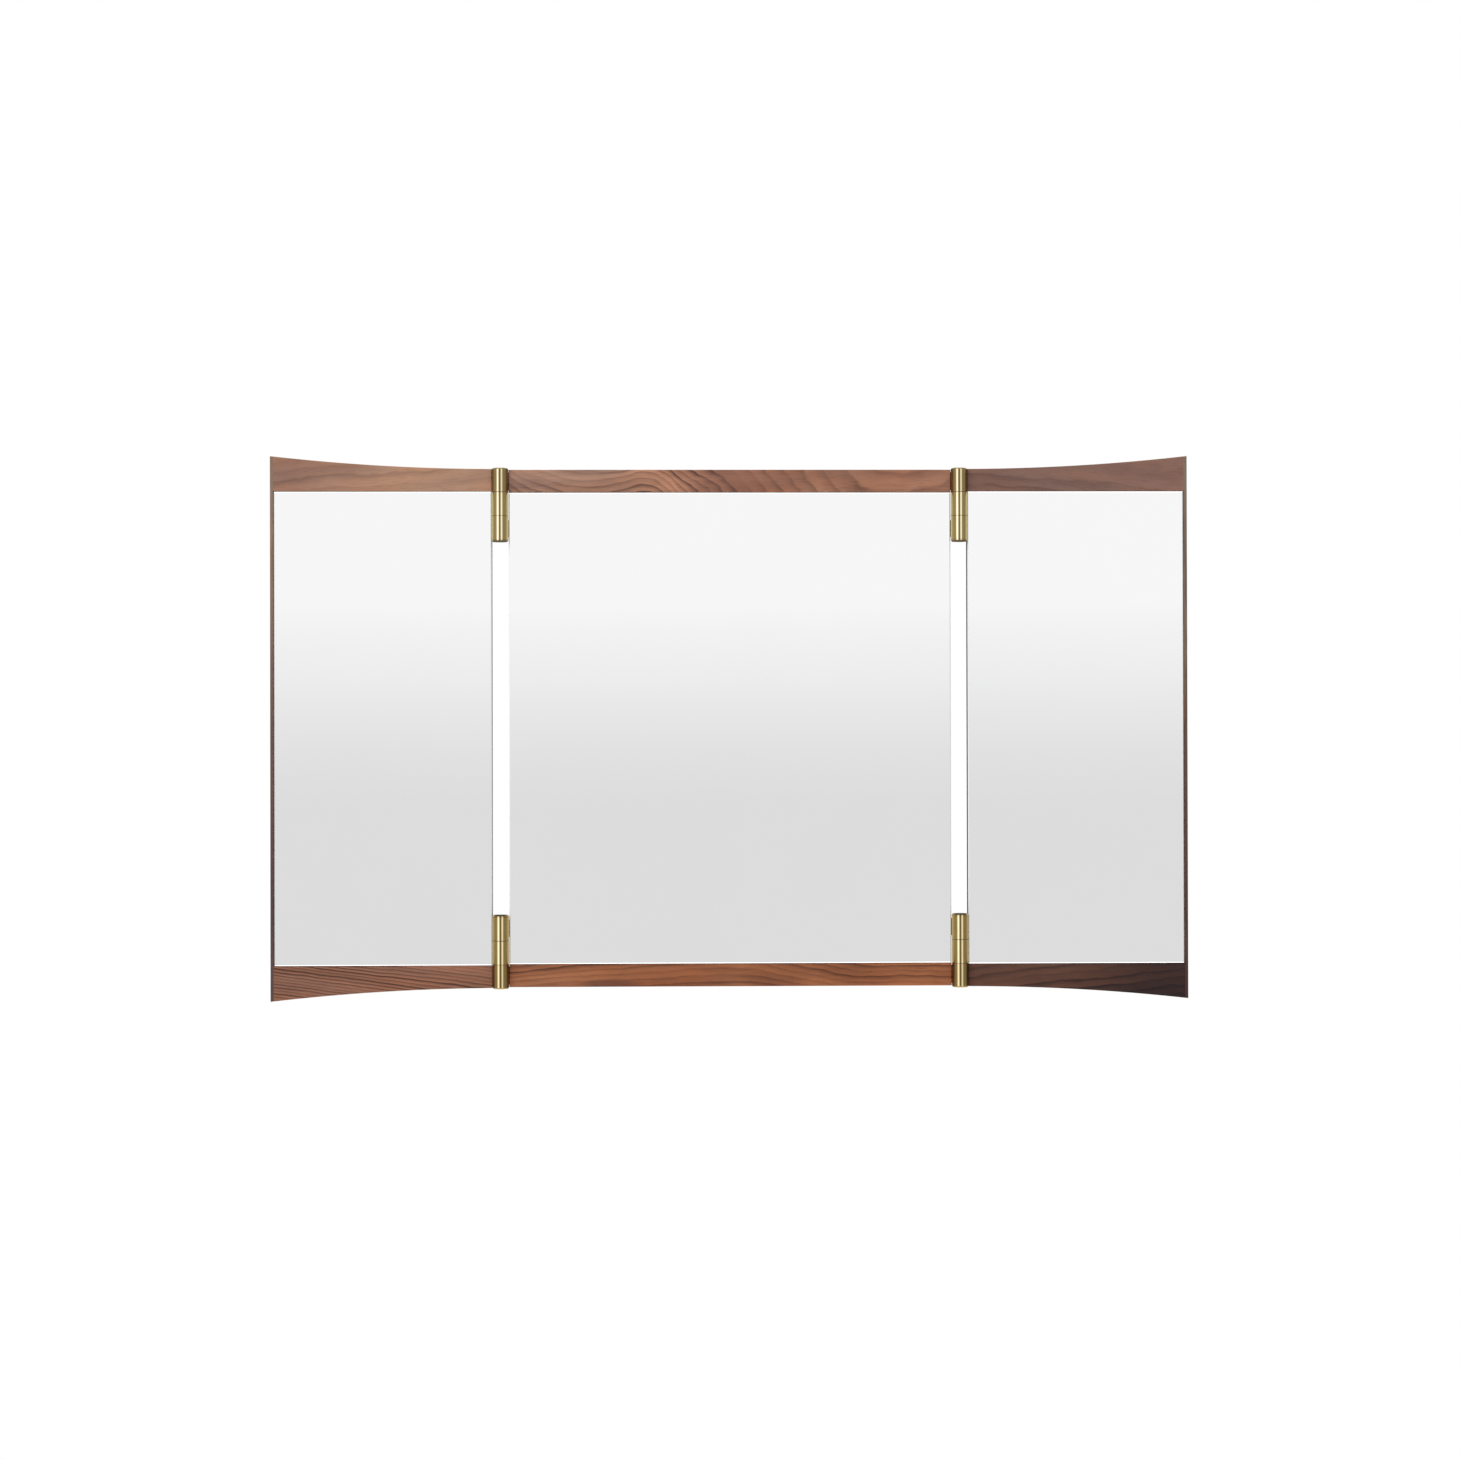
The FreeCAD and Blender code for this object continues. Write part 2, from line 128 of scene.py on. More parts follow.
class Shading:
    """Adds nodes to one shader tree and joins them up."""

    def __init__(self, tree):
        self.tree = tree

    def add(self, kind, **settings):
        node = self.tree.nodes.new(kind)
        for name, value in settings.items():
            setattr(node, name, value)
        return node

    def feed(self, socket, value):
        if isinstance(value, bpy.types.NodeSocket):
            self.tree.links.new(value, socket)
        else:
            socket.default_value = value

    def math(self, operation, *values):
        node = self.add("ShaderNodeMath", operation=operation)
        for socket, value in zip(node.inputs, values):
            self.feed(socket, value)
        return node.outputs[0]

    def clamp(self, value):
        node = self.add("ShaderNodeClamp")
        self.feed(node.inputs[0], value)
        return node.outputs[0]

    def ease(self, value, low, high, to_low=0.0, to_high=1.0):
        """Smooth change from to_low to to_high while the value goes from low to high."""
        node = self.add("ShaderNodeMapRange", interpolation_type="SMOOTHSTEP", clamp=True)
        for socket, number in zip(node.inputs, (value, low, high, to_low, to_high)):
            self.feed(socket, number)
        return node.outputs[0]

    def parts(self, vector):
        node = self.add("ShaderNodeSeparateXYZ")
        self.feed(node.inputs[0], vector)
        return node.outputs

    def join(self, x, y, z):
        node = self.add("ShaderNodeCombineXYZ")
        for socket, value in zip(node.inputs, (x, y, z)):
            self.feed(socket, value)
        return node.outputs[0]

    def stretch(self, vector, scales):
        node = self.add("ShaderNodeVectorMath", operation="MULTIPLY")
        self.feed(node.inputs[0], vector)
        self.feed(node.inputs[1], scales)
        return node.outputs[0]

    def enlarge(self, vector, scale):
        node = self.add("ShaderNodeVectorMath", operation="SCALE")
        self.feed(node.inputs[0], vector)
        self.feed(node.inputs["Scale"], scale)
        return node.outputs[0]

    def noise(self, vector, detail, roughness, distortion=0.0):
        node = self.add("ShaderNodeTexNoise")
        self.feed(node.inputs["Vector"], vector)
        node.inputs["Scale"].default_value = 1.0
        node.inputs["Detail"].default_value = detail
        node.inputs["Roughness"].default_value = roughness
        node.inputs["Distortion"].default_value = distortion
        return node.outputs[0]

    def grain(self, vector, texture):
        """Noise from a texture's cycles per metre on X, Y and Z, its detail and its roughness."""
        scales, detail, roughness = texture
        return self.noise(self.stretch(vector, scales), detail, roughness)

    def centred(self, value):
        """A value from 0 to 1, moved to lie round 0."""
        return self.math("SUBTRACT", value, 0.5)

    def mix(self, amount, first, second, blend="MIX"):
        node = self.add("ShaderNodeMix", data_type="RGBA", blend_type=blend)
        self.feed(node.inputs[0], amount)
        self.feed(node.inputs[6], first)
        self.feed(node.inputs[7], second)
        return node.outputs[2]

    def shade(self, mask, colour, factor):
        """The colour times a factor where the mask is 1."""
        return self.mix(mask, colour, factor, "MULTIPLY")

    def grade(self, amount, stops):
        node = self.add("ShaderNodeValToRGB")
        ramp = node.color_ramp
        while len(ramp.elements) < len(stops):
            ramp.elements.new(0.5)
        for element, (place, colour) in zip(ramp.elements, stops):
            element.position = place
            element.color = colour
        self.feed(node.inputs[0], amount)
        return node.outputs[0]

    def curve(self, amount, points):
        """Smooth curve through points whose two values run from 0 to 1."""
        node = self.add("ShaderNodeFloatCurve")
        line = node.mapping.curves[0]
        line.points[0].location = points[0]
        line.points[-1].location = points[-1]
        for point in points[1:-1]:
            line.points.new(*point)
        node.mapping.update()
        self.feed(node.inputs["Value"], amount)
        return node.outputs[0]

    def place(self, group, **values):
        """Puts in a node group. An underscore in a value's name stands for a space."""
        node = self.add("ShaderNodeGroup", node_tree=group)
        for name, value in values.items():
            self.feed(node.inputs[name.replace("_", " ")], value)
        return node.outputs


def new_group(name, takes, gives):
    """An empty node group with its sockets."""
    tree = bpy.data.node_groups.new(name, "ShaderNodeTree")
    for socket_name, kind, start in takes:
        socket = tree.interface.new_socket(
            name=socket_name, in_out="INPUT", socket_type="NodeSocket" + kind)
        if start is not None:
            socket.default_value = start
    for socket_name, kind in gives:
        tree.interface.new_socket(name=socket_name, in_out="OUTPUT", socket_type="NodeSocket" + kind)
    work = Shading(tree)
    inlet = work.add("NodeGroupInput")
    outlet = work.add("NodeGroupOutput")
    return work, inlet.outputs, outlet.inputs


# Wood figure. A texture is its cycles per metre along, across and up, its detail and its roughness
WANDER_ACROSS = 9.0
WANDER_UP = 13.0
WANDER_NOISE = (1.5, 0.45)
RIPPLE = ((26.0, 60.0, 60.0), 2.0, 0.5)
RIPPLE_STRENGTH = 0.8
LINE_BREAKS = ((7.0, 50.0, 50.0), 2.0, 0.5)
CLOUDS = ((6.0, 34.0, 34.0), 3.0, 0.55)
FIBRES = ((18.0, 820.0, 820.0), 3.0, 0.6)
PORES = ((60.0, 1700.0, 1700.0), 1.0, 0.5)
WARMTH = ((9.0, 40.0, 40.0), 2.0, 0.5)
# Lean of the rings from front to back, and how each ring darkens, ends and differs from the next
RING_LEAN = 0.6
RING_POWER = 2.2
RING_END = (0.82, 1.0, 1.0, 0.0)
RING_STRENGTH = (1.1, 0.45)
RING_BAND_SCALE = 0.37
RING_BAND_DETAIL = 1.0
RING_BAND_STRENGTH = (0.5, -0.25)
# Steps of the masks, and what they do to tone, roughness and height
LINE_BREAK_STEP = (0.30, 0.66, 0.45, 1.0)
PORE_STEP = (0.60, 0.70)
WARMTH_STEP = (0.30, 0.70)
WARMTH_TONES = (tone(0.95, 1.0, 1.06), tone(1.05, 0.99, 0.93))
BASE_SHADE = 0.22
PORE_STRENGTH = 0.28
PORE_BLACK = 0.5
PORE_ROUGHNESS = 0.18
PORE_HEIGHT = -0.6
FIBRE_ROUGHNESS = (0.16, 0.43)
FIBRE_HEIGHT = 0.7


def make_wood_figure():
    """Growth rings that run along local X, each with its own strength, with fibres and pores."""
    work, inlet, outlet = new_group(
        "wood_figure",
        [("Vector", "Vector", None), ("Pale", "Color", tone(0.4, 0.25, 0.15)),
         ("Dark", "Color", tone(0.1, 0.05, 0.03)), ("Rings", "Float", 90.0), ("Bend", "Float", 0.0),
         ("Swirl", "Float", 4.0), ("Reach", "Float", 3.0), ("Line Strength", "Float", 0.6),
         ("Cloud Strength", "Float", 1.0), ("Fibre Strength", "Float", 0.3)],
        [("Color", "Color"), ("Roughness", "Float"), ("Height", "Float")])
    vector = inlet["Vector"]
    x, y, z = work.parts(vector)
    along = work.math("MULTIPLY", x, inlet["Reach"])
    wander_place = work.join(
        along, work.math("MULTIPLY", y, WANDER_ACROSS), work.math("MULTIPLY", z, WANDER_UP))
    wander = work.centred(work.noise(wander_place, *WANDER_NOISE))
    ripple = work.centred(work.grain(vector, RIPPLE))
    rise = work.math("MULTIPLY_ADD", y, RING_LEAN, z)
    field = work.math("MULTIPLY_ADD", rise, inlet["Rings"], inlet["Bend"])
    field = work.math("MULTIPLY_ADD", wander, inlet["Swirl"], field)
    field = work.math("MULTIPLY_ADD", ripple, RIPPLE_STRENGTH, field)
    part = work.math("FRACT", field)
    late_wood = work.math("MULTIPLY", work.math("POWER", part, RING_POWER), work.ease(part, *RING_END))
    own = work.add("ShaderNodeTexWhiteNoise", noise_dimensions="1D")
    work.feed(own.inputs["W"], work.math("FLOOR", field))
    own_strength = work.math("MULTIPLY_ADD", own.outputs["Value"], *RING_STRENGTH)
    late_wood = work.math("MULTIPLY", late_wood, own_strength)
    come_and_go = work.ease(work.grain(vector, LINE_BREAKS), *LINE_BREAK_STEP)
    lines = work.math("MULTIPLY", work.math("MULTIPLY", late_wood, come_and_go), inlet["Line Strength"])
    bands = work.add("ShaderNodeTexNoise", noise_dimensions="1D")
    work.feed(bands.inputs["W"], field)
    bands.inputs["Scale"].default_value = RING_BAND_SCALE
    bands.inputs["Detail"].default_value = RING_BAND_DETAIL
    cloud = work.centred(work.grain(vector, CLOUDS))
    cloud = work.math("ADD", cloud, work.math("MULTIPLY_ADD", bands.outputs[0], *RING_BAND_STRENGTH))
    fibre = work.centred(work.grain(vector, FIBRES))
    shade = work.math("MULTIPLY_ADD", cloud, inlet["Cloud Strength"], lines)
    shade = work.math("MULTIPLY_ADD", fibre, inlet["Fibre Strength"], shade)
    shade = work.clamp(work.math("ADD", shade, BASE_SHADE))
    pores = work.ease(work.grain(vector, PORES), *PORE_STEP)
    colour = work.mix(shade, inlet["Pale"], inlet["Dark"])
    warmth = work.ease(work.grain(vector, WARMTH), *WARMTH_STEP)
    colour = work.shade(1.0, colour, work.mix(warmth, *WARMTH_TONES))
    pore_tone = work.mix(PORE_BLACK, inlet["Dark"], grey(0.0))
    colour = work.mix(work.math("MULTIPLY", pores, PORE_STRENGTH), colour, pore_tone)
    work.feed(outlet["Color"], colour)
    gloss = work.math("MULTIPLY_ADD", fibre, *FIBRE_ROUGHNESS)
    work.feed(outlet["Roughness"], work.math("MULTIPLY_ADD", pores, PORE_ROUGHNESS, gloss))
    height = work.math("MULTIPLY_ADD", pores, PORE_HEIGHT, work.math("MULTIPLY", fibre, FIBRE_HEIGHT))
    work.feed(outlet["Height"], height)
    return work.tree


# Chamfers, told by the largest part of their normal, and how handling breaks them up
CHAMFER_STEP = (0.80, 0.93, 1.0, 0.0)
RUBBED_NOISE = (3.0, 0.6)
RUBBED_STEP = (0.35, 0.65, 0.35, 1.0)


def make_eased_edge():
    """Mask of the small chamfers along edges, broken up by handling."""
    work, inlet, outlet = new_group(
        "eased_edge",
        [("Vector", "Vector", None), ("Normal", "Vector", None), ("Grain", "Float", 90.0)],
        [("Mask", "Float")])
    x, y, z = work.parts(inlet["Normal"])
    square = work.math("MAXIMUM", work.math("ABSOLUTE", x),
                       work.math("MAXIMUM", work.math("ABSOLUTE", y), work.math("ABSOLUTE", z)))
    chamfer = work.ease(square, *CHAMFER_STEP)
    spots = work.enlarge(inlet["Vector"], inlet["Grain"])
    rubbed = work.ease(work.noise(spots, *RUBBED_NOISE), *RUBBED_STEP)
    work.feed(outlet["Mask"], work.math("MULTIPLY", chamfer, rubbed))
    return work.tree


# Handling: the detail, roughness and distortion of its noise, and the step to a mask
HANDLING_NOISE = (5.0, 0.62, 0.4)
HANDLING_STEP = (0.38, 0.72)


def make_handling():
    """Faint uneven dulling that a surface picks up in use."""
    work, inlet, outlet = new_group(
        "handling",
        [("Vector", "Vector", None), ("Size", "Float", 20.0)],
        [("Mask", "Float")])
    spots = work.enlarge(inlet["Vector"], inlet["Size"])
    clouds = work.noise(spots, *HANDLING_NOISE)
    work.feed(outlet["Mask"], work.ease(clouds, *HANDLING_STEP))
    return work.tree


WOOD_FIGURE = make_wood_figure()
EASED_EDGE = make_eased_edge()
HANDLING = make_handling()


def new_finish(name):
    """A material with its shader, its Object coordinates and its own normals ready to use."""
    finish = bpy.data.materials.new(name)
    finish.use_nodes = True
    work = Shading(finish.node_tree)
    shader = finish.node_tree.nodes["Principled BSDF"]
    place = work.add("ShaderNodeTexCoord")
    return finish, work, shader, place.outputs["Object"], place.outputs["Normal"]


def bumped(work, shader, height, strength, distance):
    """Feeds a height to the shader as bump."""
    bump = work.add("ShaderNodeBump")
    bump.inputs["Strength"].default_value = strength
    bump.inputs["Distance"].default_value = distance
    work.feed(bump.inputs["Height"], height)
    work.feed(shader.inputs["Normal"], bump.outputs[0])


# Wood: grain of the paler edges, which are partly wear and partly painted light, dulling by handling, gloss,
# and strength and depth of its bump
WOOD_EDGE_GRAIN = 90.0
WOOD_HANDLING_SIZE = 14.0
WOOD_DULLING = 0.07
WOOD_SPECULAR = 0.28
WOOD_BUMP = (0.30, 0.0003)


def wood_finish(name, pale, dark, rings=90.0, swirl=4.0, reach=3.0, lines=0.6, clouds=1.0, fibres=0.3,
                shift=(0.0, 0.0, 0.0), slant=0.0, upright=False, flow=None, wider=None, fades=(),
                drift=None, patches=(), edge=1.5, matt=0.0):
    """Walnut or board. Along the rail flow bends the rings, wider spaces them out and fades weaken
    their lines. drift changes the tone, along the rail or down an upright, and patches do in places. edge
    pales the chamfers, partly as wear and partly as painted light."""
    finish, work, shader, place, normal = new_finish(name)
    mapping = work.add("ShaderNodeMapping", vector_type="POINT")
    work.feed(mapping.inputs["Vector"], place)
    mapping.inputs["Location"].default_value = shift
    turn = math.radians(90.0) if upright else math.radians(slant)
    mapping.inputs["Rotation"].default_value = (0.0, turn, 0.0)
    spot = work.parts(place)
    x = spot["X"]
    z = spot["Z"]
    bend = 0.0
    if flow:
        low, high = flow[0][0], flow[-1][0]
        least = min(value for at, value in flow)
        span = max(value for at, value in flow) - least
        along = work.math("DIVIDE", work.math("SUBTRACT", x, low), high - low)
        points = [((at - low) / (high - low), (value - least) / span) for at, value in flow]
        bend = work.math("MULTIPLY_ADD", work.curve(along, points), span, least)
    if wider:
        start, end, far_rings = wider
        rings = work.ease(x, start, end, rings, far_rings)
    for start, end, left in fades:
        lines = work.math("MULTIPLY", work.ease(x, start, end, 1.0, left), lines)
    colour, roughness, height = work.place(
        WOOD_FIGURE, Vector=mapping.outputs[0], Pale=tone(*pale), Dark=tone(*dark), Rings=rings, Bend=bend,
        Swirl=swirl, Reach=reach, Line_Strength=lines, Cloud_Strength=clouds, Fibre_Strength=fibres)
    if drift:
        start, end, deep = drift
        colour = work.shade(work.ease(z if upright else x, start, end), colour, tone(*deep))
    for (middle_x, middle_z), (half_x, half_z), deep in patches:
        run = work.math("DIVIDE", work.math("SUBTRACT", x, middle_x), half_x)
        climb = work.math("DIVIDE", work.math("SUBTRACT", z, middle_z), half_z)
        off_middle = work.math("ADD", work.math("MULTIPLY", run, run), work.math("MULTIPLY", climb, climb))
        colour = work.shade(work.ease(off_middle, 0.0, 1.0, 1.0, 0.0), colour, tone(*deep))
    # Paler chamfers along the edges: partly wear and partly painted light on faces that the lamps leave in
    # shade
    worn = work.place(EASED_EDGE, Vector=place, Normal=normal, Grain=WOOD_EDGE_GRAIN)[0]
    worn_and_lit_edge = work.shade(1.0, colour, grey(edge))
    colour = work.mix(worn, colour, worn_and_lit_edge)
    dulled = work.place(HANDLING, Vector=place, Size=WOOD_HANDLING_SIZE)[0]
    work.feed(shader.inputs["Base Color"], colour)
    dulling = work.math("MULTIPLY_ADD", dulled, WOOD_DULLING, matt)
    work.feed(shader.inputs["Roughness"], work.math("ADD", roughness, dulling))
    shader.inputs["Specular IOR Level"].default_value = WOOD_SPECULAR
    bumped(work, shader, height, *WOOD_BUMP)
    return finish


# Mirror glass: steps of the normal's part towards the back, and of its part upwards on the level arrises
GLASS_FACE = (-0.95, -0.85, 1.0, 0.0)
GLASS_ARRIS = (-0.55, -0.35, 1.0, 0.0)
GLASS_BACK = (0.80, 0.95)
UPPER_ARRIS = (0.50, 0.65)
LOWER_ARRIS = (-0.50, -0.65)
# The inner part of those arrises, and the slopes that tilt it to show the bright top of the wall
ARRIS_LINE_Y = (-0.01637, -0.01639)
UPPER_ARRIS_SLOPE = 0.578
LOWER_ARRIS_SLOPE = 1.158
SLOPE_BUMP = (1.0, 1.0)
# Tones and roughness of the silvered face, the bare edge, the painted back and the ground arrises
HAZE_SIZE = 5.0
GLASS_FILM = ((70.0, 70.0, 70.0), 4.0, 0.6)
SILVER_TONES = (tone(0.962, 0.963, 0.962), tone(0.956, 0.958, 0.958))
EDGE_TONES = (tone(0.36, 0.50, 0.44), tone(0.50, 0.64, 0.57))
PAINT_TONES = (tone(0.16, 0.17, 0.18), tone(0.24, 0.25, 0.26))
FROST_TONES = (tone(0.90, 0.91, 0.91), tone(0.95, 0.96, 0.955))
SILVER_ROUGHNESS = (0.002, 0.001)
FILM_ROUGHNESS = 0.10
BACK_ROUGHNESS = (0.35, 0.10)


def mirror_finish():
    """Silvered glass: bright face, sea-green edge, painted back, and frosted arrises, of which the level
    ones have a bright line."""
    finish, work, shader, place, normal = new_finish("silvered_glass")
    y, z = work.parts(place)[1:]
    facing, rising = work.parts(normal)[1:]
    front = work.ease(facing, *GLASS_FACE)
    arris = work.ease(facing, *GLASS_ARRIS)
    back = work.ease(facing, *GLASS_BACK)
    inner = work.math("MULTIPLY", arris, work.ease(y, *ARRIS_LINE_Y))
    upper = work.math("MULTIPLY", inner, work.ease(rising, *UPPER_ARRIS))
    lower = work.math("MULTIPLY", inner, work.ease(rising, *LOWER_ARRIS))
    polished = work.math("MAXIMUM", front, work.math("MAXIMUM", upper, lower))
    haze = work.place(HANDLING, Vector=place, Size=HAZE_SIZE)[0]
    film = work.grain(place, GLASS_FILM)
    silver = work.mix(haze, *SILVER_TONES)
    edge = work.mix(film, *EDGE_TONES)
    paint = work.mix(film, *PAINT_TONES)
    frost = work.mix(film, *FROST_TONES)
    colour = work.mix(arris, work.mix(back, edge, paint), frost)
    work.feed(shader.inputs["Base Color"], work.mix(polished, colour, silver))
    work.feed(shader.inputs["Metallic"], polished)
    smooth = work.math("MULTIPLY_ADD", haze, *SILVER_ROUGHNESS)
    ground = work.math("MULTIPLY_ADD", film, FILM_ROUGHNESS,
                       work.math("MULTIPLY_ADD", back, *BACK_ROUGHNESS))
    roughness = work.math("ADD", work.math("MULTIPLY", polished, smooth),
                          work.math("MULTIPLY", work.math("SUBTRACT", 1.0, polished), ground))
    work.feed(shader.inputs["Roughness"], roughness)
    upper_tilt = work.math("MULTIPLY", work.math("MULTIPLY", upper, UPPER_ARRIS_SLOPE),
                           work.math("ADD", y, z))
    lower_tilt = work.math("MULTIPLY", work.math("MULTIPLY", lower, LOWER_ARRIS_SLOPE),
                           work.math("SUBTRACT", y, z))
    bumped(work, shader, work.math("ADD", upper_tilt, lower_tilt), *SLOPE_BUMP)
    return finish


# Brass: tones, and the factors of painted shade that darken it between the rails, on the lower hinges, on
# the outer knuckles, at the seams of the knuckles and round the pin heads
BRASS_TONE = tone(0.785, 0.605, 0.232)
BROWNED_TONE = tone(0.610, 0.430, 0.155)
WORN_TONE = tone(0.900, 0.740, 0.440)
RECESS_SHADE = tone(0.46, 0.42, 0.42)
LOWER_SHADE = tone(0.89, 0.83, 0.74)
OUTER_SHADE = tone(0.85, 0.83, 0.80)
SEAM_SHADE = tone(0.62, 0.57, 0.52)
HEAD_SHADE = tone(0.20, 0.17, 0.13)
# Where those factors come in: away from the barrel's axis, in front, and by height from the middle
BARREL_EDGE = (0.0062, 0.0095)
BARREL_FRONT = (-0.010, -0.014)
RAIL_EDGE_Z = (0.2990, 0.3035)
LOWER_HINGE_Z = (0.05, -0.05)
OUTER_KNUCKLE_Z = (0.3007, 0.3011)
KNUCKLE_SEAM_Z = (0.30095, 0.27075)
KNUCKLE_SEAM_HALF = (0.00058, 0.00042)
HEAD_SEAM_Z = (0.24035, 0.24055)
HEAD_RIM_Z = (0.2398, 0.2390)
# Strength and scale of browning and edge wear, and the turning lines
BROWNING = 0.20
BROWNING_SIZE = 55.0
BROWNED_ROUGHNESS = 0.03
BRASS_WEAR = 0.25
BRASS_EDGE_GRAIN = 160.0
TURNING = ((40.0, 40.0, 3600.0), 2.0, 0.55)
TURNING_ROUGHNESS = (0.05, 0.05)
TURNING_BUMP = (0.02, 0.00003)


def brass_finish(name, heads=False):
    """Polished brass with turning lines round the barrels, browned in places, with painted shade where the
    barrels sit between the rails, on the lower hinges, on the outer knuckles and in the knuckle seams. heads
    adds painted shade to the seams and rims of the pin heads."""
    finish, work, shader, place, normal = new_finish(name)
    x, y, z = work.parts(place)
    height = work.math("ABSOLUTE", z)
    browned = work.place(HANDLING, Vector=place, Size=BROWNING_SIZE)[0]
    turning = work.grain(place, TURNING)
    worn = work.place(EASED_EDGE, Vector=place, Normal=normal, Grain=BRASS_EDGE_GRAIN)[0]
    colour = work.mix(work.math("MULTIPLY", browned, BROWNING), BRASS_TONE, BROWNED_TONE)
    colour = work.mix(work.math("MULTIPLY", worn, BRASS_WEAR), colour, WORN_TONE)
    # Painted shade: the edges of the barrels darker where they sit between the rails
    off_axis = work.math("ABSOLUTE", work.math("SUBTRACT", work.math("ABSOLUTE", x), BARREL_X))
    front = work.ease(y, *BARREL_FRONT)
    recess = work.math("MULTIPLY", work.ease(off_axis, *BARREL_EDGE), front)
    recess = work.math("MULTIPLY", recess, work.ease(height, *RAIL_EDGE_Z))
    colour = work.shade(recess, colour, RECESS_SHADE)
    # Painted shade: the brass of the lower hinges darker
    below = work.math("MULTIPLY", front, work.ease(z, *LOWER_HINGE_Z))
    colour = work.shade(below, colour, LOWER_SHADE)
    # Painted shade: the outer knuckles darker
    outer = work.math("MULTIPLY", front, work.ease(height, *OUTER_KNUCKLE_Z))
    colour = work.shade(outer, colour, OUTER_SHADE)
    # Painted shade: a thin dark band at each seam between knuckles
    for seam in KNUCKLE_SEAM_Z:
        off_seam = work.math("ABSOLUTE", work.math("SUBTRACT", height, seam))
        painted_seam_shade = work.math("MULTIPLY", front, work.ease(off_seam, *KNUCKLE_SEAM_HALF))
        colour = work.shade(painted_seam_shade, colour, SEAM_SHADE)
    if heads:
        # Painted shade: the seams and rims of the pin heads darker
        dark = work.math("MAXIMUM", work.ease(height, *HEAD_SEAM_Z), work.ease(height, *HEAD_RIM_Z))
        colour = work.shade(dark, colour, HEAD_SHADE)
    work.feed(shader.inputs["Base Color"], colour)
    roughness = work.math("MULTIPLY_ADD", turning, *TURNING_ROUGHNESS)
    work.feed(shader.inputs["Roughness"], work.math("MULTIPLY_ADD", browned, BROWNED_ROUGHNESS, roughness))
    shader.inputs["Metallic"].default_value = 1.0
    bumped(work, shader, turning, *TURNING_BUMP)
    return finish


# Zinc plating: its crystals, where handling dulls it, and wear along its edges
SPANGLE_SCALE = 420.0
SPANGLE_TONES = (tone(0.52, 0.53, 0.54), tone(0.66, 0.67, 0.67))
SPANGLE_ROUGHNESS = (0.10, 0.30)
SPANGLE_BUMP = (0.06, 0.0001)
ZINC_DULLED = tone(0.46, 0.45, 0.41)
ZINC_DULLING = 0.4
ZINC_HANDLING_SIZE = 70.0
ZINC_WORN = grey(0.78)
ZINC_WEAR = 0.5
ZINC_EDGE_GRAIN = 200.0


def zinc_finish():
    """Zinc-plated steel with small crystals, dulled in places and bright along its edges."""
    finish, work, shader, place, normal = new_finish("zinc_plate")
    crystal = work.add("ShaderNodeTexVoronoi")
    work.feed(crystal.inputs["Vector"], place)
    crystal.inputs["Scale"].default_value = SPANGLE_SCALE
    spangle = work.parts(crystal.outputs["Color"])[0]
    dulled = work.place(HANDLING, Vector=place, Size=ZINC_HANDLING_SIZE)[0]
    worn = work.place(EASED_EDGE, Vector=place, Normal=normal, Grain=ZINC_EDGE_GRAIN)[0]
    colour = work.mix(spangle, *SPANGLE_TONES)
    colour = work.mix(work.math("MULTIPLY", dulled, ZINC_DULLING), colour, ZINC_DULLED)
    colour = work.mix(work.math("MULTIPLY", worn, ZINC_WEAR), colour, ZINC_WORN)
    work.feed(shader.inputs["Base Color"], colour)
    work.feed(shader.inputs["Roughness"], work.math("MULTIPLY_ADD", spangle, *SPANGLE_ROUGHNESS))
    shader.inputs["Metallic"].default_value = 1.0
    bumped(work, shader, spangle, *SPANGLE_BUMP)
    return finish


# Foam tape: its cells, dust, tones and roughness
TAPE_CELLS = ((1500.0, 1500.0, 1500.0), 3.0, 0.65)
TAPE_DUST_SIZE = 40.0
TAPE_TONES = (tone(0.78, 0.78, 0.75), tone(0.66, 0.65, 0.61))
TAPE_ROUGHNESS = (0.2, 0.72)
TAPE_BUMP = (0.35, 0.0002)


def tape_finish():
    """Pale foam with fine cells, dusty in places."""
    finish, work, shader, place = new_finish("foam_tape")[:4]
    cells = work.grain(place, TAPE_CELLS)
    dust = work.place(HANDLING, Vector=place, Size=TAPE_DUST_SIZE)[0]
    work.feed(shader.inputs["Base Color"], work.mix(dust, *TAPE_TONES))
    work.feed(shader.inputs["Roughness"], work.math("MULTIPLY_ADD", cells, *TAPE_ROUGHNESS))
    bumped(work, shader, cells, *TAPE_BUMP)
    return finish


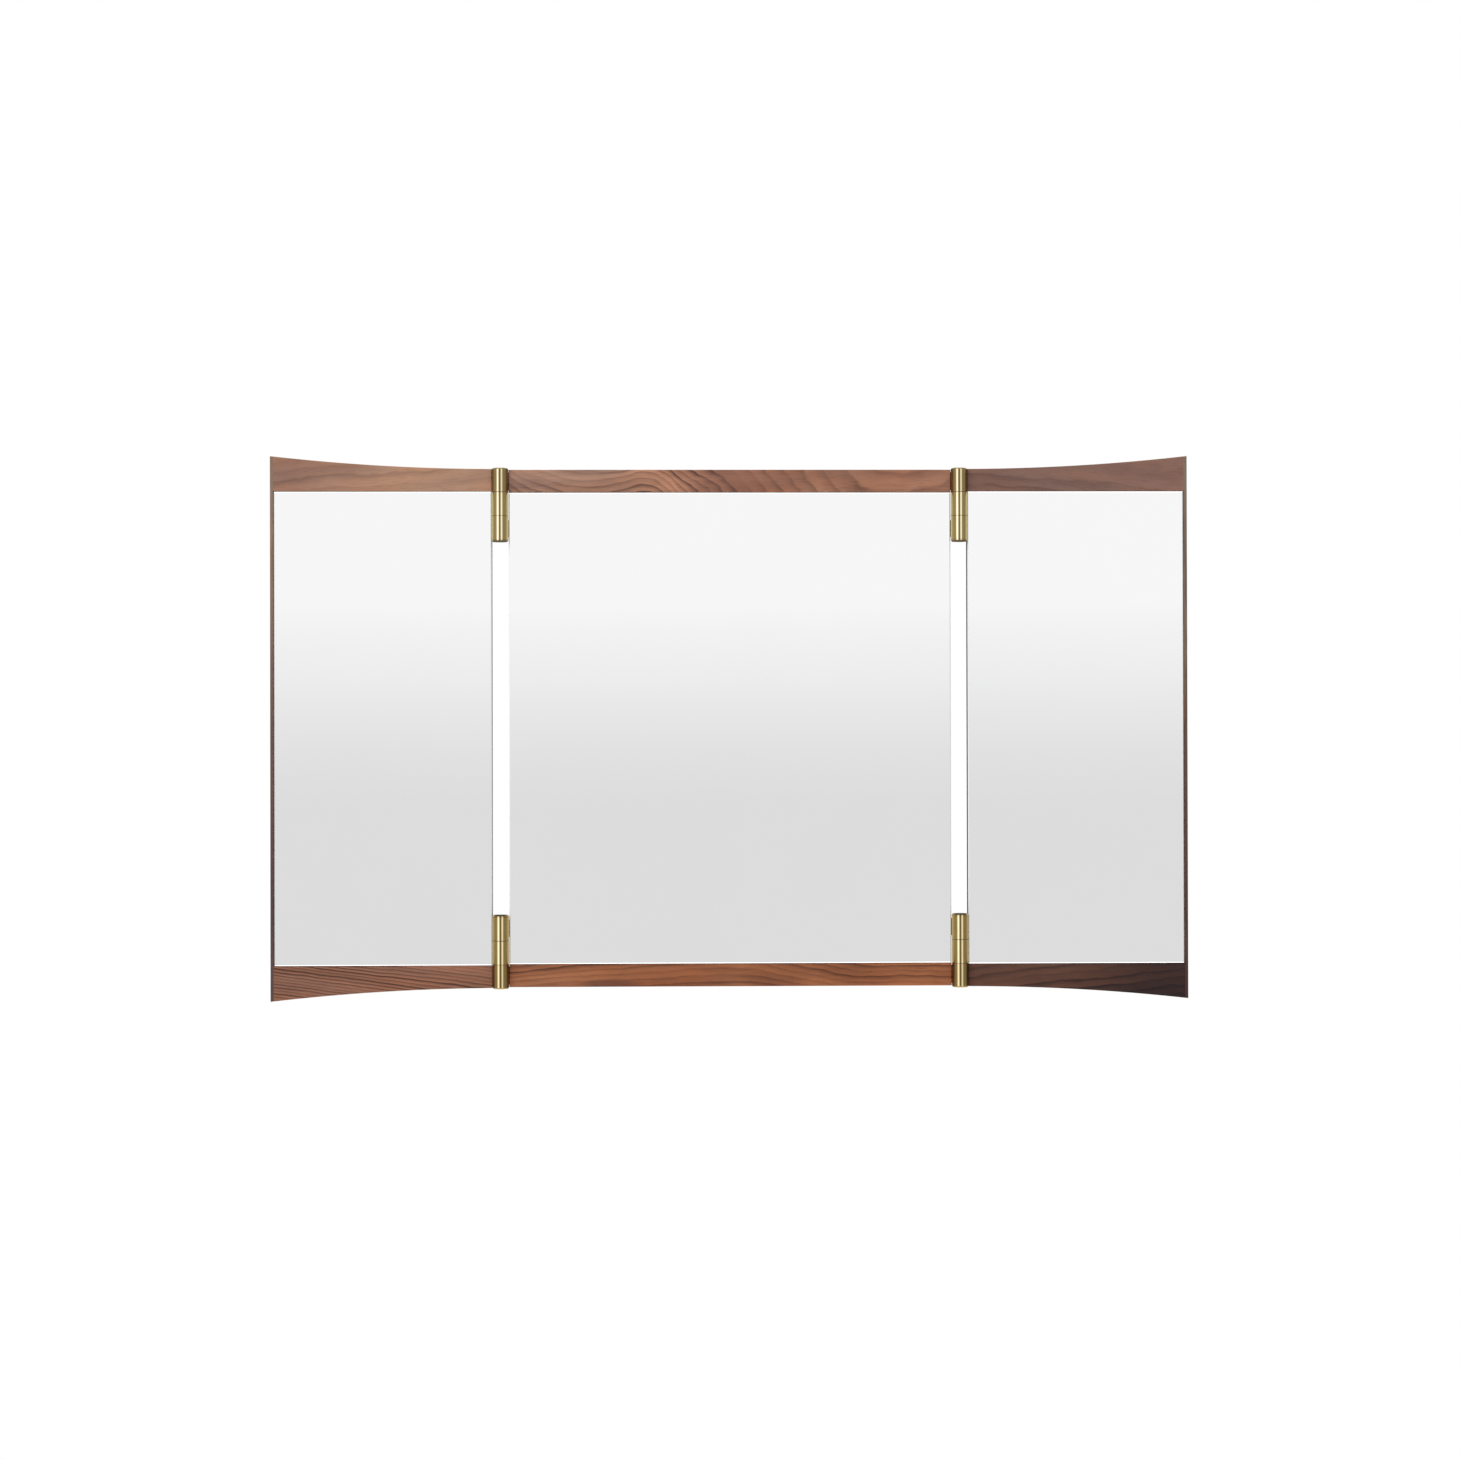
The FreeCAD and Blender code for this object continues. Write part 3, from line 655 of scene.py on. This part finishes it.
# Each rail and stile is its own piece of walnut
WALNUT = {
    "left_wing_top_rail": wood_finish(
        "walnut_left_top", (0.520, 0.290, 0.180), (0.210, 0.113, 0.076), rings=75.0, swirl=3.0, reach=3.2,
        lines=0.42, shift=(0.0, 0.0, 0.0), slant=4.0, drift=(-0.40, -0.59, (0.70, 0.66, 0.72))),
    "left_wing_bottom_rail": wood_finish(
        "walnut_left_bottom", (0.358, 0.157, 0.092), (0.074, 0.030, 0.017), rings=235.0, swirl=5.0,
        reach=2.0, lines=1.25, shift=(0.3, 0.1, 0.2), slant=-7.0),
    "centre_top_rail": wood_finish(
        "walnut_centre_top", (0.420, 0.195, 0.115), (0.102, 0.044, 0.030), rings=130.0, swirl=2.5,
        reach=5.0, lines=1.30, clouds=1.4, shift=(1.3, 0.0, -0.3158), wider=(-0.12, 0.04, 45.0),
        fades=[(-0.10, 0.02, 0.44), (-0.19, -0.27, 0.50)], drift=(-0.02, -0.18, (1.14, 1.34, 1.50)),
        patches=[((0.020, 0.316), (0.085, 0.060), (0.82, 0.77, 0.79)),
                 ((-0.066, 0.310), (0.034, 0.011), (1.26, 1.23, 1.18))],
        flow=((-0.2825, -3.3), (-0.240, -1.0), (-0.190, 0.0), (-0.140, -0.4), (-0.108, -1.0),
              (-0.085, 0.0), (-0.060, 2.2), (0.0, 5.0), (0.060, 7.6), (0.120, 10.0), (0.180, 11.7),
              (0.230, 12.1), (0.2825, 11.4))),
    "centre_bottom_rail": wood_finish(
        "walnut_centre_bottom", (0.402, 0.143, 0.057), (0.093, 0.030, 0.012), rings=140.0, swirl=2.5,
        reach=5.0, lines=1.30, clouds=1.5, shift=(2.1, 0.0, 0.3158), fades=[(0.0, 0.12, 0.72)],
        drift=(-0.17, -0.26, (1.05, 1.12, 1.24)),
        patches=[((-0.155, -0.328), (0.050, 0.010), (0.52, 0.50, 0.55)),
                 ((-0.080, -0.316), (0.110, 0.060), (0.78, 0.77, 0.79)),
                 ((0.058, -0.316), (0.050, 0.060), (0.84, 0.79, 0.76))],
        flow=((-0.2825, 1.6), (-0.180, 0.5), (-0.060, -0.4), (0.0, -0.4), (0.060, 0.3), (0.120, 1.6),
              (0.180, 2.5), (0.2825, 2.9))),
    "right_wing_top_rail": wood_finish(
        "walnut_right_top", (0.271, 0.146, 0.108), (0.100, 0.050, 0.038), rings=60.0, swirl=4.0, reach=3.0,
        lines=0.38, shift=(3.0, 1.1, 2.2), slant=-6.0),
    "right_wing_bottom_rail": wood_finish(
        "walnut_right_bottom", (0.136, 0.055, 0.030), (0.034, 0.0130, 0.0072), rings=80.0, swirl=5.0,
        reach=3.5, lines=0.85, clouds=1.6, shift=(4.2, 1.6, 3.1), slant=5.0,
        drift=(0.40, 0.56, (0.34, 0.34, 0.36))),
    "left_wing_outer_stile": wood_finish(
        "walnut_left_stile", (0.270, 0.180, 0.130), (0.125, 0.080, 0.060), upright=True,
        shift=(0.5, 0.2, 0.4), drift=(0.26, -0.12, (0.46, 0.39, 0.44))),
    "right_wing_outer_stile": wood_finish(
        "walnut_right_stile", (0.245, 0.168, 0.117), (0.110, 0.076, 0.052), upright=True,
        shift=(1.5, 0.6, 1.1), drift=(0.20, -0.14, (0.52, 0.36, 0.35)),
        patches=[((0.584, -0.345), (0.060, 0.070), (0.55, 0.50, 0.50))]),
}
BOARD = wood_finish(
    "stained_board", (0.125, 0.083, 0.056), (0.060, 0.038, 0.026), rings=55.0, swirl=9.0, reach=1.6,
    lines=0.45, clouds=0.8, fibres=0.35, upright=True, shift=(0.2, 0.3, 0.9), edge=1.6, matt=0.14)
MIRROR = mirror_finish()
BRASS = brass_finish("polished_brass")
PIN_BRASS = brass_finish("pin_brass", heads=True)
ZINC = zinc_finish()
TAPE = tape_finish()

FINISH_BY_ENDING = {
    "_back_board": BOARD, "_mirror": MIRROR, "_mirror_tape": TAPE, "_leaves": BRASS, "_pins": PIN_BRASS,
    "_washers": BRASS, "_plates": ZINC,
}


def dress(piece, finish):
    """Gives a piece one finish all over."""
    if piece.data.materials:
        for index in range(len(piece.data.materials)):
            piece.data.materials[index] = finish
    else:
        piece.data.materials.append(finish)


def finish_of(node):
    """The finish of a CAD node, by its name or else by how its name ends."""
    if node in WALNUT:
        return WALNUT[node]
    return next(finish for ending, finish in FINISH_BY_ENDING.items() if node.endswith(ending))


for name, piece in nodes.items():
    dress(piece, finish_of(name))


def select_faces(mesh, wanted):
    """In edit mode, leaves selected only the faces that wanted() picks."""
    bpy.ops.mesh.select_all(action="DESELECT")
    bpy.ops.object.mode_set(mode="OBJECT")
    for polygon in mesh.polygons:
        polygon.select = wanted(polygon)
    bpy.ops.object.mode_set(mode="EDIT")


def model_screw(name, shank):
    """A pan-head screw with a cross recess, its head on the XZ plane and its shank towards -Y."""
    bpy.ops.object.select_all(action="DESELECT")
    bpy.ops.mesh.primitive_cylinder_add(
        vertices=HEAD_SIDES, radius=HEAD_RADIUS, depth=HEAD_HEIGHT, location=(0.0, HEAD_HEIGHT / 2, 0.0),
        rotation=(math.radians(-90.0), 0.0, 0.0))
    screw = bpy.context.object
    screw.name = name
    screw.data.name = name
    bpy.ops.object.transform_apply(location=True, rotation=True, scale=True)
    bpy.ops.object.mode_set(mode="EDIT")
    bpy.ops.mesh.select_mode(type="FACE")
    select_faces(screw.data, lambda face: face.normal.y > END_FACE)
    bpy.ops.mesh.bevel(offset=RIM_BEVEL, segments=RIM_SEGMENTS, affect="EDGES")
    select_faces(screw.data, lambda face: face.normal.y > END_FACE and face.area > HEAD_RADIUS ** 2)
    bpy.ops.mesh.inset(thickness=CROWN_INSET, depth=0.0)
    bpy.ops.transform.translate(value=(0.0, CROWN_RISE, 0.0))
    select_faces(screw.data, lambda face: face.normal.y < -END_FACE)
    bpy.ops.mesh.inset(thickness=HEAD_RADIUS - SHANK_RADIUS, depth=0.0)
    bpy.ops.mesh.extrude_region_move(TRANSFORM_OT_translate={"value": (0.0, -shank, 0.0)})
    bpy.ops.object.mode_set(mode="OBJECT")
    for length, width in ((RECESS_LENGTH, RECESS_WIDTH), (RECESS_WIDTH, RECESS_LENGTH)):
        bpy.ops.object.select_all(action="DESELECT")
        bpy.ops.mesh.primitive_cube_add(size=1.0, location=(0.0, HEAD_HEIGHT + CROWN_RISE, 0.0))
        punch = bpy.context.object
        punch.scale = (length, 2.0 * RECESS_DEPTH, width)
        bpy.ops.object.transform_apply(location=True, rotation=True, scale=True)
        bpy.ops.object.select_all(action="DESELECT")
        screw.select_set(True)
        bpy.context.view_layer.objects.active = screw
        cut = screw.modifiers.new("recess", "BOOLEAN")
        cut.operation = "DIFFERENCE"
        cut.solver = "EXACT"
        cut.object = punch
        bpy.ops.object.modifier_apply(modifier=cut.name)
        bpy.data.objects.remove(punch)
    bpy.ops.object.shade_smooth_by_angle(angle=math.radians(SMOOTH_ANGLE))
    return screw


def set_screw(pattern, name, place, turn, finish, body):
    """A copy of a screw, turned by its own angle and set with its head on the metal."""
    bpy.ops.object.select_all(action="DESELECT")
    screw = bpy.data.objects.new(name, pattern.data.copy())
    screw.data.name = name
    bpy.context.scene.collection.objects.link(screw)
    screw.location = place
    screw.rotation_euler = (0.0, math.radians(turn), 0.0)
    screw.select_set(True)
    bpy.context.view_layer.objects.active = screw
    bpy.ops.object.transform_apply(location=True, rotation=True, scale=True)
    dress(screw, finish)
    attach(screw, body)


def fit_screws():
    """Two screws in each hinge leaf and two in each hanger plate."""
    leaf_pattern = model_screw("leaf_screw", LEAF_SHANK)
    plate_pattern = model_screw("plate_screw", PLATE_SHANK)
    count = 0
    for side, way in (("left", -1.0), ("right", 1.0)):
        leaves = (("centre", BARREL_X - LEAF_SCREW_OFFSET, "centre_panel"),
                  ("wing", BARREL_X + LEAF_SCREW_OFFSET, side + "_wing"))
        for number, height in enumerate(LEAF_SCREW_Z, 1):
            for leaf, offset, body in leaves:
                count += 1
                name = f"{side}_{leaf}_leaf_screw_{number}"
                place = (way * offset, METAL_FACE, height)
                set_screw(leaf_pattern, name, place, NEXT_TURN * count, BRASS, body)
        for number, height in enumerate(PLATE_SCREW_Z, 1):
            count += 1
            name = f"{side}_plate_screw_{number}"
            place = (way * PLATE_X, METAL_FACE, height)
            set_screw(plate_pattern, name, place, NEXT_TURN * count, ZINC, "centre_panel")
    for pattern in (leaf_pattern, plate_pattern):
        bpy.data.objects.remove(pattern)


# Finish of the floor
FLOOR_CLOUDS = ((3.0, 3.0, 3.0), 4.0, 0.55)
FLOOR_TONES = (tone(0.88, 0.88, 0.875), tone(0.92, 0.92, 0.915))
FLOOR_ROUGHNESS = (0.1, 0.75)


def make_floor():
    """A pale round floor below the hung mirror, thinning out to the white behind."""
    bpy.ops.object.select_all(action="DESELECT")
    bpy.ops.mesh.primitive_circle_add(vertices=FLOOR_SIDES, radius=FLOOR_RADIUS, fill_type="NGON",
                                      location=(0.0, 0.0, FLOOR_HEIGHT))
    floor = bpy.context.object
    floor.name = "floor"
    bpy.ops.object.transform_apply(location=True, rotation=True, scale=True)
    finish, work, shader, place = new_finish("pale_floor")[:4]
    x, y = work.parts(place)[:2]
    reach = work.math("SQRT", work.math("ADD", work.math("MULTIPLY", x, x), work.math("MULTIPLY", y, y)))
    clouds = work.grain(place, FLOOR_CLOUDS)
    work.feed(shader.inputs["Base Color"], work.mix(clouds, *FLOOR_TONES))
    work.feed(shader.inputs["Roughness"], work.math("MULTIPLY_ADD", clouds, *FLOOR_ROUGHNESS))
    work.feed(shader.inputs["Alpha"], work.ease(reach, *FLOOR_FADE))
    dress(floor, finish)


def panel_tone(level):
    """Light of a panel, the brighter the cooler."""
    low, high, green, blue = PANEL_COOL
    cool = min(max((level - low) / (high - low), 0.0), 1.0)
    return tone(level, level * (1.0 + green * cool), level * (1.0 + blue * cool))


def change_light(work, light, value, start, end, level):
    """Light that goes over to a grey level while the value goes from start to end."""
    return work.mix(work.ease(value, start, end), light, grey(level))


def mirror_wall(work, z, bearing):
    """The calm wall that the mirrors show."""
    lowest = WALL_STEPS[0][0]
    span = WALL_STEPS[-1][0] - lowest
    steps = work.math("DIVIDE", work.math("SUBTRACT", z, lowest), span)
    stops = [((rise - lowest) / span, grey(level)) for rise, level in WALL_STEPS]
    wall = work.grade(work.clamp(steps), stops)
    wall = change_light(work, wall, z, *WALL_CROWN)
    near, far, dim = WALL_SIDES
    aside = work.math("ABSOLUTE", bearing)
    wall = change_light(work, wall, aside, math.radians(near), math.radians(far), dim)
    return change_light(work, wall, z, *WALL_FOOT)


def metal_panels(work, y, z, bearing):
    """The tall soft panels that the metal shows."""
    turn = work.math("MULTIPLY_ADD", bearing, 0.5 / math.pi, 0.5)
    stops = [((angle + 180.0) / 360.0, panel_tone(level)) for angle, level in PANEL_STEPS]
    panels = work.grade(turn, stops)
    off_level = work.ease(work.math("ABSOLUTE", z), *PANEL_END)
    panels = work.mix(off_level, panels, grey(PAST_PANELS), "DARKEN")
    start, end, level = LIGHT_BEHIND
    behind = work.math("MULTIPLY", work.ease(y, start, end), off_level)
    panels = work.mix(behind, panels, grey(level))
    panels = change_light(work, panels, z, *LIGHT_ABOVE)
    return change_light(work, panels, z, *LIGHT_BELOW)


def make_world():
    """White behind, even soft light, a calm wall for the mirrors, and tall soft panels for the metal."""
    world = bpy.data.worlds.new("studio")
    bpy.context.scene.world = world
    world.use_nodes = True
    tree = world.node_tree
    tree.nodes.clear()
    work = Shading(tree)
    x, y, z = work.parts(work.add("ShaderNodeTexCoord").outputs["Generated"])
    bearing = work.math("ARCTAN2", x, work.math("MULTIPLY", y, -1.0))
    wall = mirror_wall(work, z, bearing)
    panels = metal_panels(work, y, z, bearing)
    path = work.add("ShaderNodeLightPath")
    room = work.mix(path.outputs["Is Singular Ray"], panels, wall)
    from_below, from_above = SOFT_LIGHT
    even = work.mix(work.ease(z, -1.0, 1.0), grey(from_below), grey(from_above))
    seen = work.mix(path.outputs["Is Glossy Ray"], even, room)
    clear = work.math("MAXIMUM", path.outputs["Is Camera Ray"], path.outputs["Is Transmission Ray"])
    seen = work.mix(clear, seen, grey(SHOWN_WHITE))
    background = work.add("ShaderNodeBackground")
    work.feed(background.inputs["Color"], seen)
    background.inputs["Strength"].default_value = 1.0
    output = work.add("ShaderNodeOutputWorld")
    work.feed(output.inputs["Surface"], background.outputs[0])


def make_key():
    """A large lamp in front of the mirror, to the left and above, which no reflection shows."""
    lamp = bpy.data.lights.new("key", "AREA")
    lamp.shape = "SQUARE"
    lamp.size = KEY_SIZE
    lamp.energy = KEY_WATTS
    key = bpy.data.objects.new("key", lamp)
    bpy.context.scene.collection.objects.link(key)
    key.location = KEY_PLACE
    key.rotation_euler = (-key.location).to_track_quat("-Z", "Y").to_euler()
    key.visible_glossy = False


def make_camera():
    """The camera at the photograph's viewing angle."""
    camera = bpy.data.objects.new("camera", bpy.data.cameras.new("camera"))
    bpy.context.scene.collection.objects.link(camera)
    camera.location = CAMERA_PLACE
    aim = Euler((math.radians(90.0 + CAMERA_PITCH), 0.0, math.radians(-CAMERA_YAW))).to_matrix()
    camera.rotation_euler = (aim @ Matrix.Rotation(math.radians(CAMERA_ROLL), 3, "Z")).to_euler()
    camera.data.lens = CAMERA_LENS
    camera.data.sensor_width = CAMERA_SENSOR
    bpy.context.scene.camera = camera


fit_screws()
make_floor()
make_world()
make_key()
make_camera()
bpy.context.scene.view_settings.view_transform = "Standard"
